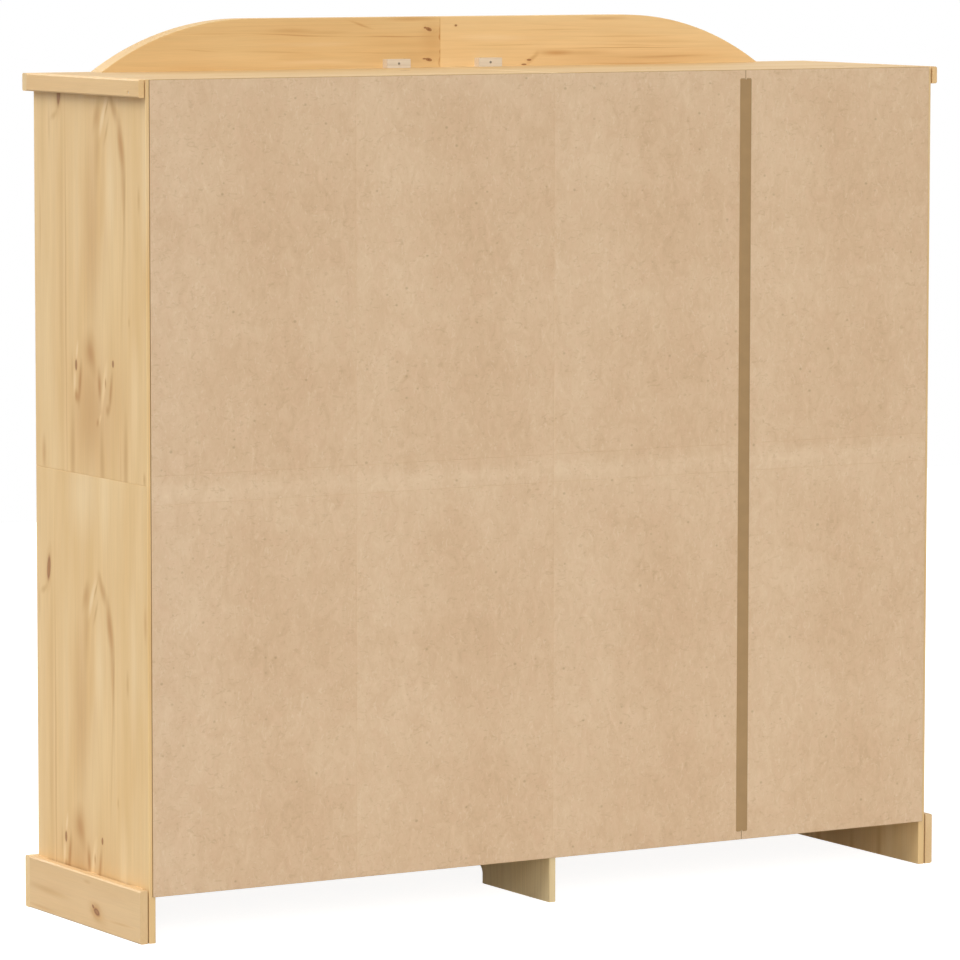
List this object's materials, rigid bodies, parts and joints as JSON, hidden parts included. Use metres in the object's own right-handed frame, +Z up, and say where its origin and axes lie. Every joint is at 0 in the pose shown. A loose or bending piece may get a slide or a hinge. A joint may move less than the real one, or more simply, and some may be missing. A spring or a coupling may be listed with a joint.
{
  "type": "four-door pine wardrobe",
  "caption": "Wide rustic pine wardrobe with panelled doors, drop-ring pulls, plinth, cornice, a wavy pediment and a folded hardboard back.",
  "frame": {"origin": "on the floor, at the middle of the width and of the side boards' depth, on the sole of the middle leg", "axes": "+Z up, +X to the right as seen from the front, the doors face -Y"},
  "size_m": [1.971, 0.5293, 1.869],
  "materials": {
    "pine": "satin clear lacquer",
    "pine_sides": "satin clear lacquer",
    "pine_pediment": "satin clear lacquer",
    "pine_strips": "satin clear lacquer",
    "pine_blocks": "planed, bare",
    "pine_doors": "satin clear lacquer",
    "pine_panels": "satin clear lacquer",
    "hardboard": "thin board, printed pale brown, matt",
    "brown_plastic": "matt",
    "beech": "bare",
    "zinc_steel": "zinc plated",
    "black_iron": "black wax"
  },
  "bodies": {
    "carcass": {"side_lower_left": "pine_sides", "side_lower_right": "pine_sides", "side_upper_left": "pine_sides", "side_upper_right": "pine_sides", "partition_lower": "pine", "partition_upper": "pine", "bottom_board_left": "pine", "bottom_board_right": "pine", "top_board_left": "pine", "top_board_right": "pine", "header_rail_left": "pine", "header_rail_right": "pine", "back_sheet_wide": "hardboard", "back_sheet_narrow": "hardboard", "back_joint_strip": "brown_plastic", "cornice_front_left": "pine_strips", "cornice_front_right": "pine_strips", "cornice_side_left": "pine_strips", "cornice_side_right": "pine_strips", "plinth_front_left": "pine_strips", "plinth_front_right": "pine_strips", "plinth_side_left": "pine_strips", "plinth_side_right": "pine_strips", "pediment_left": "pine_pediment", "pediment_right": "pine_pediment", "pediment_blocks": "pine_blocks", "hat_shelf_left": "pine", "hat_shelf_right": "pine", "shelf_pins": "zinc_steel", "hanging_rail_left": "pine", "hanging_rail_right": "pine", "rail_sockets": "brown_plastic", "seam_dowels": "beech", "seam_plates": "zinc_steel", "hinge_leaves_fixed": "black_iron", "hinge_pins": "black_iron", "catch_cases": "brown_plastic"},
    "door_outer_left": {"door_outer_frame_left": "pine_doors", "door_outer_panels_left": "pine_panels", "door_outer_hinge_leaves_left": "black_iron", "door_outer_pull_plate_left": "black_iron"},
    "door_outer_right": {"door_outer_frame_right": "pine_doors", "door_outer_panels_right": "pine_panels", "door_outer_hinge_leaves_right": "black_iron", "door_outer_pull_plate_right": "black_iron"},
    "door_inner_left": {"door_inner_frame_left": "pine_doors", "door_inner_panels_left": "pine_panels", "door_inner_hinge_leaves_left": "black_iron", "door_inner_pull_plate_left": "black_iron"},
    "door_inner_right": {"door_inner_frame_right": "pine_doors", "door_inner_panels_right": "pine_panels", "door_inner_hinge_leaves_right": "black_iron", "door_inner_pull_plate_right": "black_iron"},
    "ring_outer_left": {"door_outer_pull_ring_left": "black_iron"},
    "ring_outer_right": {"door_outer_pull_ring_right": "black_iron"},
    "ring_inner_left": {"door_inner_pull_ring_left": "black_iron"},
    "ring_inner_right": {"door_inner_pull_ring_right": "black_iron"}
  },
  "joints": [
    {"name": "door_outer_left_hinge", "type": "hinge", "parent": "carcass", "child": "door_outer_left", "pos_m": [-0.948, -0.2562, 0.9165], "axis": [0, 0, -1], "range_deg": [0, 170]},
    {"name": "door_outer_right_hinge", "type": "hinge", "parent": "carcass", "child": "door_outer_right", "pos_m": [0.948, -0.2562, 0.9165], "axis": [0, 0, 1], "range_deg": [0, 170]},
    {"name": "door_inner_left_hinge", "type": "hinge", "parent": "carcass", "child": "door_inner_left", "pos_m": [-0.009, -0.2562, 0.9165], "axis": [0, 0, 1], "range_deg": [0, 85]},
    {"name": "door_inner_right_hinge", "type": "hinge", "parent": "carcass", "child": "door_inner_right", "pos_m": [0.009, -0.2562, 0.9165], "axis": [0, 0, -1], "range_deg": [0, 85]},
    {"name": "ring_outer_left_swing", "type": "hinge", "parent": "door_outer_left", "child": "ring_outer_left", "pos_m": [-0.511, -0.2625, 1.01], "axis": [-1, 0, 0], "range_deg": [-11, 169]},
    {"name": "ring_outer_right_swing", "type": "hinge", "parent": "door_outer_right", "child": "ring_outer_right", "pos_m": [0.511, -0.2625, 1.01], "axis": [-1, 0, 0], "range_deg": [-11, 169]},
    {"name": "ring_inner_left_swing", "type": "hinge", "parent": "door_inner_left", "child": "ring_inner_left", "pos_m": [-0.446, -0.2625, 1.01], "axis": [-1, 0, 0], "range_deg": [-11, 169]},
    {"name": "ring_inner_right_swing", "type": "hinge", "parent": "door_inner_right", "child": "ring_inner_right", "pos_m": [0.446, -0.2625, 1.01], "axis": [-1, 0, 0], "range_deg": [-11, 169]}
  ]
}
